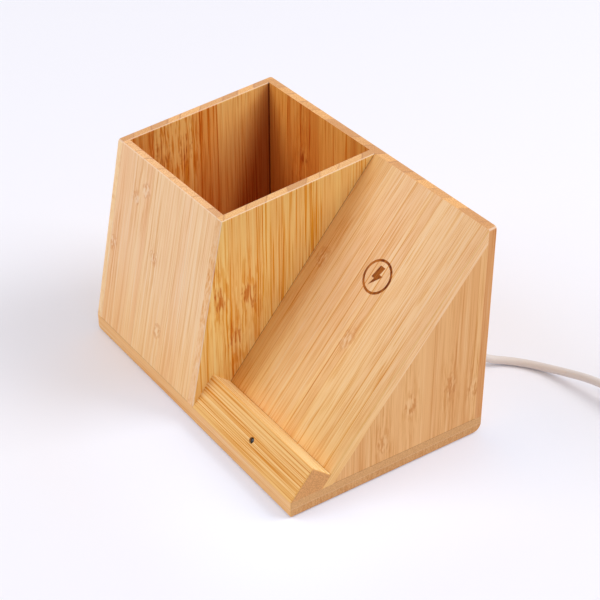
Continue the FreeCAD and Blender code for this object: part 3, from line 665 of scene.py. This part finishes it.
def bendFibres(tree, look, wood):
    sway = drawnNoise(tree, wood["grain"], *caneLook["sway"])
    wood["bend"] = maths(tree, "MULTIPLY", maths(tree, "SUBTRACT", sway, noiseMiddle), look["wave"])
    if look["knots"]:
        ragged = noise(tree, wood["grain"], knuckleLook["ragged"], 1)
        ragged = maths(tree, "SUBTRACT", ragged, noiseMiddle)
        wood["knotAway"] = maths(tree, "ADD", knotGap(tree, look, wood, *look["knotSize"]), ragged)
        wood["knots"] = remap(tree, wood["knotAway"], *knuckleLook["edge"], 1, 0)
        flames = knotGap(tree, look, wood, *look["flameSize"])
        flames = remap(tree, flames, *knuckleLook["flameEdge"], 1, 0)
        wood["flames"] = flames
        more = maths(tree, "MULTIPLY", flames, look["flame"])
        wood["streaky"] = maths(tree, "ADD", wood["streaky"], more)
        swirl = drawnNoise(tree, wood["grain"], *knuckleLook["swirl"])
        swirl = maths(tree, "MULTIPLY", maths(tree, "SUBTRACT", swirl, noiseMiddle), flames)
        wood["bend"] = maths(tree, "ADD", wood["bend"], maths(tree, "MULTIPLY", swirl, look["swirl"]))


def knuckleColour(tree, look, wood, colour):
    streaks = drawnNoise(tree, wood["grain"], *knuckleLook["streaks"])
    streaks = remap(tree, streaks, *knuckleLook["streakEdge"], 0, look["streaks"])
    colour = tinted(tree, maths(tree, "MULTIPLY", streaks, wood["flames"]), colour, look["line"])
    dashes = drawnNoise(tree, wood["grain"], knuckleLook["dashes"], look["dash"])
    bright = remap(tree, dashes, *knuckleLook["brightEdge"], knuckleLook["brightLeast"], look["knotPale"])
    bright = maths(tree, "MULTIPLY", bright, wood["knots"])
    colour = mixColours(tree, bright, colour, paint(look["pale"]))
    rind = maths(tree, "ABSOLUTE", maths(tree, "SUBTRACT", wood["knotAway"], knuckleLook["rindAt"]))
    rind = maths(tree, "MULTIPLY", remap(tree, rind, *knuckleLook["rindEdge"], 1, 0), look["rind"])
    breaks = noise(tree, wood["grain"], knuckleLook["rindBreaks"], 1)
    rind = maths(tree, "MULTIPLY", rind, remap(tree, breaks, *knuckleLook["rindBreakEdge"]))
    flecks = maths(tree, "MULTIPLY", remap(tree, dashes, *knuckleLook["fleckEdge"]), wood["knots"])
    return tinted(tree, maths(tree, "MAXIMUM", flecks, rind), colour, look["knot"])


def fibreColour(tree, look, wood):  # hue of the strips, pale and dark fibres, seams that come and go
    drawn = maths(tree, "MULTIPLY", wood["along"], look["run"])
    shift = maths(tree, "MULTIPLY", wood["picks"][1], caneLook["stripShift"])
    drawn = maths(tree, "ADD", drawn, shift)
    bent = maths(tree, "ADD", wood["across"], wood["bend"])
    fibre = addNode(tree, "ShaderNodeCombineXYZ", {0: bent, 1: drawn, 2: wood["deep"]}).outputs[0]
    wood["fibre"] = fibre
    broad = noise(tree, fibre, caneLook["broad"], 2)
    fine = noise(tree, fibre, look["fibre"], *caneLook["fineDetail"])
    hair = noise(tree, fibre, look["fibre"] * caneLook["hairTimes"], 1)
    hue = maths(tree, "ADD", broad, remap(tree, wood["picks"][0], 0, 1, -look["vary"], look["vary"]))
    hue = remap(tree, hue, *caneLook["hueEdge"])
    colour = mixColours(tree, hue, paint(look["light"]), paint(look["mid"]))
    if wood["calm"] is not None:
        colour = mixColours(tree, wood["calm"], colour, paint(look["light"]))
    if look["restFace"]:
        direction, restColour, share = look["restFace"]
        rest = maths(tree, "MULTIPLY", facingMask(tree, wood["normal"], direction), share)
        colour = mixColours(tree, rest, colour, paint(restColour))
    pale = remap(tree, fine, *caneLook["paleEdge"], 0, caneLook["paleShare"])
    colour = mixColours(tree, pale, colour, paint(look["pale"]))
    lines = remap(tree, fine, *caneLook["lineEdge"], 0, look["lines"])
    colour = tinted(tree, maths(tree, "MULTIPLY", lines, wood["streaky"]), colour, look["line"])
    hairs = remap(tree, hair, *caneLook["hairEdge"], 0, look["hair"])
    colour = tinted(tree, maths(tree, "MULTIPLY", hairs, wood["streaky"]), colour, look["line"])
    seams = remap(tree, wood["toJoint"], *caneLook["seamEdge"], look["seam"], 0)
    breaks = drawnNoise(tree, wood["grain"], *caneLook["seamBreaks"])
    breaks = remap(tree, breaks, *caneLook["seamBreakEdge"], caneLook["seamLeast"], 1)
    return tinted(tree, maths(tree, "MULTIPLY", seams, breaks), colour, look["line"])


# cut ends show the fibres as specks, and the joints as soft slanted smudges

endLook = {
    "specks": 1900,
    "speckEdge": (0.2, 0.75),
    "slant": 0.7,
    "wobble": 0.003,
    "wobbleScale": 220,
    "strip": 0.0105,
    "smudgeEdge": (0.0001, 0.0009),
    "smudgeLeast": 0.4,
    "blockEdge": (0.2, 1),
    "blockShare": 0.5,
    "hatch": 2400,  # short upright lines on the lower ply
    "hatchStretch": (1, 0.1, 0.1),
    "hatchEdge": (0.42, 0.6),
    "hatchShare": 0.36,
    # painted highlight along the step between the two plies
    "plyLine": 0.0004,
    "plyShare": 0.2,
}


def endColour(tree, look, wood):
    specks = addNode(tree, "ShaderNodeTexVoronoi", {"Vector": wood["fibre"], "Scale": endLook["specks"]})
    specks = remap(tree, specks.outputs["Distance"], *endLook["speckEdge"])
    ends = mixColours(tree, specks, paint(look["endDark"]), paint(look["endLight"]))
    if look["endSeam"]:
        slant = maths(tree, "MULTIPLY", wood["deep"], endLook["slant"])
        slant = maths(tree, "ADD", wood["stripLine"], slant)
        wobble = noise(tree, wood["grain"], endLook["wobbleScale"], 2)
        wobble = maths(tree, "MULTIPLY", wobble, endLook["wobble"])
        picks, toJoint = stripNodes(tree, maths(tree, "ADD", slant, wobble), endLook["strip"])
        smudge = remap(tree, toJoint, *endLook["smudgeEdge"], look["endSeam"], 0)
        smudge = maths(tree, "MULTIPLY", smudge, remap(tree, picks[1], 0, 1, endLook["smudgeLeast"], 1))
        blocks = remap(tree, picks[0], *endLook["blockEdge"], 0, endLook["blockShare"])
        for share in (blocks, smudge):
            ends = mixColours(tree, share, ends, paint(look["endJoint"]))
    if look["ply"]:
        hatch = noise(tree, stretched(tree, wood["grain"], endLook["hatchStretch"]), endLook["hatch"], 1)
        hatch = remap(tree, hatch, *endLook["hatchEdge"], 0, endLook["hatchShare"])
        ends = mixColours(tree, wood["upperPly"], tinted(tree, hatch, ends, look["line"]), ends)
        # pale line between the plies: a painted highlight of the step
        toPly = maths(tree, "ABSOLUTE", planeGap(tree, wood["place"], (0, 0, look["ply"]), zWay))
        plyHighlight = remap(tree, toPly, 0, endLook["plyLine"], endLook["plyShare"], 0)
        ends = mixColours(tree, plyHighlight, ends, paint(look["pale"]))
    return ends


# tones of whole faces, fades towards a place, sanded edges and glue lines; the inner faces of the pen
# box, its corners and the band beside the divider carry painted shade and bounce light, and pale edges a
# painted highlight

glueLook = {"colour": "94602e", "share": 0.6, "core": 0.3}  # core: the full part of its width


def faceColour(tree, look, wood, colour):
    place, normal = wood["place"], wood["normal"]
    for direction, tint in look["tonesAndPaintedBounce"]:
        colour = tinted(tree, facingMask(tree, normal, direction), colour, tint)
    for face, point, direction, reach, tint in look["fadesAndShade"]:
        near = remap(tree, planeGap(tree, place, point, direction), 0, reach, 1, 0)
        if face is not None:
            near = maths(tree, "MULTIPLY", near, facingMask(tree, normal, face))
        colour = tinted(tree, near, colour, tint)
    # sanded edges, partly a painted highlight where the edge colour is paler
    colour = mixColours(tree, wood["arris"], colour, paint(look["edge"]))
    for face, point, direction, width in look["glue"]:
        gap = maths(tree, "ABSOLUTE", planeGap(tree, place, point, direction))
        line = remap(tree, gap, width * glueLook["core"], width, glueLook["share"], 0)
        line = maths(tree, "MULTIPLY", line, facingMask(tree, normal, face))
        colour = mixColours(tree, line, colour, paint(glueLook["colour"]))
    return colour


def bambooFinish(name, look):
    material, tree, shader = newFinish(name)
    wood = boardPlaces(tree, look)
    layStrips(tree, look, wood)
    bendFibres(tree, look, wood)
    colour = fibreColour(tree, look, wood)
    if look["knots"]:
        colour = knuckleColour(tree, look, wood, colour)
    colour = mixColours(tree, wood["endGrain"], colour, endColour(tree, look, wood))
    colour = faceColour(tree, look, wood, colour)
    tree.links.new(colour, shader.inputs["Base Color"])
    shader.inputs["Roughness"].default_value = caneLook["rough"]
    shader.inputs["Specular IOR Level"].default_value = caneLook["gloss"]
    return material


for name, own in bambooLook.items():
    if name != "plain":
        dress(name, bambooFinish("bamboo_" + name, {**bambooLook["plain"], **own}))
print("bamboo dressed")


# burnt-in sign on the charging panel: a plain ring with a bolt in it

signLook = {
    "x": 0.0494,
    "up": 0.0920,  # along the slope from its foot
    "ring": 0.00865,  # outer radius
    "ringSteps": 96,
    "stroke": 0.0013,
    "bolt": 0.0117,  # height
    "boltShape": [  # shares of its height
        (-0.15, 0.45),
        (-0.27, -0.12),
        (-0.11, -0.12),
        (-0.22, -0.48),
        (0.25, 0.11),
        (0.05, 0.11),
        (0.14, 0.45),
    ],
    "proud": 0.00004,
    "sunk": 0.00006,
    "burn": "6a2608",
    "scorch": "c0702c",
    "streaks": (700, 0.06, 2),
    "patches": 190,
    "charEdge": (0.75, 1.25),  # of streaks and patches together
    "rough": 0.8,
    "gloss": 0.1,
}
signTurn = Matrix((xWay, slopeUp, slopeOut))
signSpot = slopeFoot + xWay * signLook["x"] + slopeUp * signLook["up"]
signPlace = Matrix.Translation(signSpot) @ signTurn.transposed().to_4x4()


def burntFinish(look):
    material, tree, shader = newFinish("burntWood")
    place = addNode(tree, "ShaderNodeTexCoord").outputs["Object"]
    turned = {"Vector": place, "Rotation": signTurn.to_euler()}
    grain = addNode(tree, "ShaderNodeMapping", turned).outputs[0]
    streaks = drawnNoise(tree, grain, *look["streaks"])
    patches = noise(tree, grain, look["patches"], 1)
    char = remap(tree, maths(tree, "ADD", streaks, patches), *look["charEdge"])
    colour = mixColours(tree, char, paint(look["burn"]), paint(look["scorch"]))
    tree.links.new(colour, shader.inputs["Base Color"])
    shader.inputs["Roughness"].default_value = look["rough"]
    shader.inputs["Specular IOR Level"].default_value = look["gloss"]
    return material


def keepPiece(shape, name, material, place):
    mesh = bpy.data.meshes.new(name)
    shape.transform(place)
    bmesh.ops.recalc_face_normals(shape, faces=shape.faces)
    shape.to_mesh(mesh)
    shape.free()
    mesh.materials.append(material)
    piece = bpy.data.objects.new(name, mesh)
    scene.collection.objects.link(piece)
    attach(piece, "root")


def cutRing(look):
    ring = bmesh.new()
    outer, inner = look["ring"], look["ring"] - look["stroke"]
    proud, sunk = look["proud"], -look["sunk"]
    section = [(inner, sunk), (inner + proud, proud), (outer - proud, proud), (outer, sunk)]
    corners = [ring.verts.new((x, 0, z)) for x, z in section]
    loop = [ring.edges.new(pair) for pair in zip(corners, corners[1:] + corners[:1])]
    bmesh.ops.spin(
        ring,
        geom=corners + loop,
        cent=(0, 0, 0),
        axis=(0, 0, 1),
        angle=2 * math.pi,
        steps=look["ringSteps"],
        use_merge=True,
    )
    return ring


def cutBolt(look):
    bolt = bmesh.new()
    tall = look["bolt"]
    outline = [bolt.verts.new((x * tall, y * tall, -look["sunk"])) for x, y in look["boltShape"]]
    raised = bmesh.ops.extrude_face_region(bolt, geom=[bolt.faces.new(outline)])
    bmesh.ops.translate(
        bolt,
        vec=(0, 0, look["proud"] + look["sunk"]),
        verts=[item for item in raised["geom"] if isinstance(item, bmesh.types.BMVert)],
    )
    return bolt


burnt = burntFinish(signLook)
keepPiece(cutRing(signLook), "signRing", burnt, signPlace)
keepPiece(cutBolt(signLook), "signBolt", burnt, signPlace)
print("sign burnt in")


# plain finishes of the fittings

fittingLook = {
    "base_pads": {"one": "3b3936", "two": "2f2d2b", "scale": 900, "rough": 0.85},
    "transmitter_coil": {"one": "b8683a", "two": "8f4a24", "scale": 1500, "rough": 0.35, "metal": 1.0},
    "coil_shield": {"one": "3a3a3c", "two": "2b2b2d", "scale": 700, "rough": 0.7},
    "coil_tape": {"one": "efede6", "two": "e6e3d8", "scale": 300, "rough": 0.4},
    "coil_leads": {"one": "c9a05c", "two": "b98b48", "scale": 900, "rough": 0.4},
    "charger_board": {"one": "1f5a35", "two": "2c7044", "scale": 420, "rough": 0.45},
    "board_standoffs": {"one": "e8e4da", "two": "dcd6c8", "scale": 300, "rough": 0.5},
    "board_screws": {"one": "b9bbbd", "two": "9fa2a5", "scale": 1200, "rough": 0.35, "metal": 1.0},
    "board_chips": {"one": "232326", "two": "1a1a1c", "scale": 1600, "rough": 0.6},
    "board_capacitors": {"one": "b79a73", "two": "a78a64", "scale": 900, "rough": 0.5},
    "board_inductor": {"one": "4a4a4d", "two": "3c3c3f", "scale": 800, "rough": 0.65},
    "indicator_led": {"one": "23262c", "two": "1b1d22", "scale": 600, "rough": 0.16},
    "led_leads": {"one": "c23b30", "two": "b03229", "scale": 600, "rough": 0.45},
    "supply_wires": {"one": "2a2a2c", "two": "1f1f21", "scale": 600, "rough": 0.5},
    "cord_stop": {"one": "e6e2da", "two": "d8d3c9", "scale": 500, "rough": 0.5},
    "cord_tie": {"one": "6f6f72", "two": "5c5c60", "scale": 2200, "rough": 0.75},
    "plug_shell": {"one": "c6c8ca", "two": "bec0c3", "scale": 120, "rough": 0.3, "metal": 1.0},
    "plug_tongue": {"one": "f0eee9", "two": "e3e0d9", "scale": 500, "rough": 0.45},
}
speckleLook = {  # alike on every fitting
    "detail": 3,
    "edge": (0.3, 0.7),
    "roughSpread": 0.05,
    "bump": (0.1, 0.0001),  # strength, depth
}


def fittingFinish(name, look):
    material, tree, shader = newFinish(name)
    place = addNode(tree, "ShaderNodeTexCoord").outputs["Object"]
    speckle = noise(tree, place, look["scale"], speckleLook["detail"])
    share = remap(tree, speckle, *speckleLook["edge"])
    colour = mixColours(tree, share, paint(look["one"]), paint(look["two"]))
    tree.links.new(colour, shader.inputs["Base Color"])
    spread = speckleLook["roughSpread"]
    roughness = remap(tree, speckle, *noiseSpan, look["rough"] - spread, look["rough"] + spread)
    tree.links.new(roughness, shader.inputs["Roughness"])
    shader.inputs["Metallic"].default_value = look.get("metal", 0.0)
    addBump(tree, shader, speckle, *speckleLook["bump"])
    return material


for name, look in fittingLook.items():
    dress(name, fittingFinish("finish_" + name, look))
print("fittings dressed")


# small forms of the plug: latch windows in the shell as flat dark patches of painted shade, ribs on the
# grip

plugLook = {
    "window": (0.0024, 0.0022, 0.00006),
    "windowFromMouth": 0.0058,
    "windowApart": 0.0056,
    # flat dark patches on the shell: painted shade standing in for the open latch windows
    "windowShade": {"one": "3a3b3d", "two": "2e2f31", "scale": 900, "rough": 0.6},
    "rib": (0.0009, 0.0104, 0.0005),
    "ribRound": 0.0002,
    "ribRoundSteps": 2,
    "ribs": 5,
    "ribPitch": 0.0021,
    "ribStart": 0.0046,
}


def addBlock(name, centre, size, material, roundBy=0.0):
    block = bmesh.new()
    bmesh.ops.create_cube(block, size=1)
    bmesh.ops.scale(block, vec=size, verts=block.verts)
    if roundBy:
        bmesh.ops.bevel(
            block,
            geom=block.edges[:],
            offset=roundBy,
            segments=plugLook["ribRoundSteps"],
            profile=0.5,
            affect="EDGES",
            material=-1,
        )
    keepPiece(block, name, material, Matrix.Translation(centre))


shellLow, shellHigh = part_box("plug_shell")
windowShadeFinish = fittingFinish("plugWindow", plugLook["windowShade"])
for side in (-0.5, 0.5):
    for face, height in (("Top", shellHigh.z), ("Under", shellLow.z)):
        spot = Vector((
            shellLow.x + plugLook["windowFromMouth"],
            (shellLow.y + shellHigh.y) / 2 + side * plugLook["windowApart"],
            height,
        ))
        label = "plugWindow" + face + ("Left" if side < 0 else "Right")
        addBlock(label, spot, plugLook["window"], windowShadeFinish)
gripLow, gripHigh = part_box("plug_grip")
for count in range(plugLook["ribs"]):
    spot = Vector((
        gripLow.x + plugLook["ribStart"] + count * plugLook["ribPitch"],
        (gripLow.y + gripHigh.y) / 2,
        gripHigh.z,
    ))
    addBlock(f"gripRib{count + 1}", spot, plugLook["rib"], cordFinish, plugLook["ribRound"])
print("plug detailed")


# floor and light

stageLook = {
    "floor": "f4f3f9",
    "floorSize": 4,  # metres from the middle to each side
    "floorRough": 0.9,
    "floorGloss": 0.1,
    "floorFade": (1.0, 2.2),  # metres, where it runs out into the background
    "lift": "38536a",  # painted light that whitens the seen floor close round the base, towards its right half, lifting the shadow and warm bounce there
    "liftReach": 0.08,
    "liftFrom": (-0.06, 0.0),
    "sky": "f8f8fd",
    "skyLight": 0.53,  # what it lights the object with; seen, it is 1
    "lamps": {
        "left": {"place": (-0.93, -1.38, 1.58), "size": 1.6, "power": 17.0},
        "right": {"place": (0.98, 1.43, 1.58), "size": 1.3, "power": 26.5},
        "top": {"place": (0.0, 0.0, 2.2), "size": 2.0, "power": 4.4},
    },
    "aim": (0.0, 0.0, 0.05),
}


def floorFinish(look):
    material, tree, shader = newFinish("floor")
    shader.inputs["Base Color"].default_value = paint(look["floor"])
    shader.inputs["Roughness"].default_value = look["floorRough"]
    shader.inputs["Specular IOR Level"].default_value = look["floorGloss"]
    place = addNode(tree, "ShaderNodeTexCoord").outputs["Object"]
    seen = seenRays(tree)
    away = vectorMaths(tree, "LENGTH", place)["Value"]
    runOut = maths(tree, "MULTIPLY", remap(tree, away, *look["floorFade"]), seen)
    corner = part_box("base_board")[1]
    beside = vectorMaths(tree, "ABSOLUTE", place)[0]
    beside = vectorMaths(tree, "SUBTRACT", beside, (corner.x, corner.y, 0))[0]
    beside = vectorMaths(tree, "MAXIMUM", beside)[0]
    beside = vectorMaths(tree, "LENGTH", beside)["Value"]
    # painted light on the seen floor, fading out away from the base
    lift = remap(tree, beside, 0, look["liftReach"], 1, 0)
    sideways = addNode(tree, "ShaderNodeSeparateXYZ", {0: place}).outputs["X"]
    lift = maths(tree, "MULTIPLY", lift, remap(tree, sideways, *look["liftFrom"]))
    lift = maths(tree, "MULTIPLY", lift, seen)
    glow = addNode(tree, "ShaderNodeEmission", {"Color": paint(look["lift"]), "Strength": lift})
    pale = addNode(tree, "ShaderNodeAddShader", {0: shader.outputs[0], 1: glow.outputs[0]}).outputs[0]
    clear = addNode(tree, "ShaderNodeBsdfTransparent").outputs[0]
    both = addNode(tree, "ShaderNodeMixShader", {0: runOut, 1: pale, 2: clear}).outputs[0]
    tree.links.new(both, tree.nodes["Material Output"].inputs["Surface"])
    return material


def layFloor(look):
    shape = bmesh.new()
    bmesh.ops.create_grid(shape, x_segments=1, y_segments=1, size=look["floorSize"])
    mesh = bpy.data.meshes.new("floor")
    shape.to_mesh(mesh)
    shape.free()
    mesh.materials.append(floorFinish(look))
    floor = bpy.data.objects.new("floor", mesh)
    scene.collection.objects.link(floor)


def lightRoom(look):
    world = bpy.data.worlds.new("studio")
    scene.world = world
    world.use_nodes = True
    tree = world.node_tree
    background = tree.nodes["Background"]
    background.inputs["Color"].default_value = paint(look["sky"])
    strength = remap(tree, seenRays(tree), 0, 1, look["skyLight"], 1)
    tree.links.new(strength, background.inputs["Strength"])
    for name, lamp in look["lamps"].items():
        light = bpy.data.lights.new(name, "AREA")
        light.size = lamp["size"]
        light.energy = lamp["power"]
        lampObject = bpy.data.objects.new(name, light)
        lampObject.location = lamp["place"]
        towards = Vector(look["aim"]) - lampObject.location
        lampObject.rotation_euler = towards.to_track_quat("-Z", "Y").to_euler()
        scene.collection.objects.link(lampObject)


layFloor(stageLook)
lightRoom(stageLook)
print("stage lit")

bpy.context.view_layer.update()
